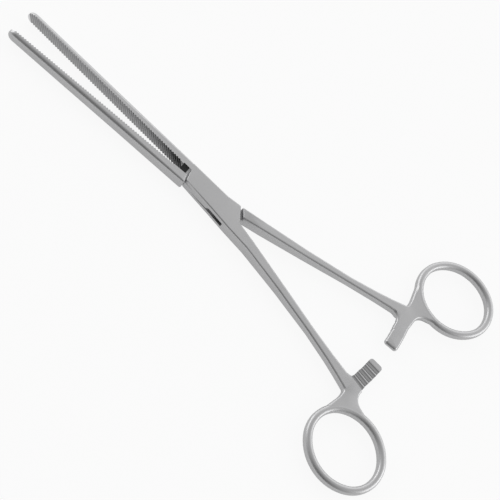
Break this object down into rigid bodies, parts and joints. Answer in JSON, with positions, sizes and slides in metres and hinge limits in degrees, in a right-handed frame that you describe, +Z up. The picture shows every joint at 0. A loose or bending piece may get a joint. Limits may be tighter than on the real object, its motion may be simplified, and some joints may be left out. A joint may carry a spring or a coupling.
{
  "type": "intestinal clamp",
  "caption": "Long straight surgical clamp with a box-lock joint, slant-serrated tapered jaws, slim shanks, a ratchet and oval finger rings.",
  "frame": {"origin": "axis of the lock pin on the lower face of the box", "axes": "+X along the clamp towards the finger rings, +Y towards the jaw of the outer half, +Z up along the pin"},
  "size_m": [0.223, 0.1198, 0.0058],
  "materials": {
    "satin_steel": "satin"
  },
  "bodies": {
    "outer_half": {"female_half": "satin_steel", "lock_pin": "satin_steel"},
    "inner_half": {"male_half": "satin_steel"}
  },
  "joints": [
    {"name": "box_lock", "type": "hinge", "parent": "outer_half", "child": "inner_half", "pos_m": [0, 0, 0.0029], "axis": [0, 0, 1], "range_deg": [-5.75, 53]}
  ]
}
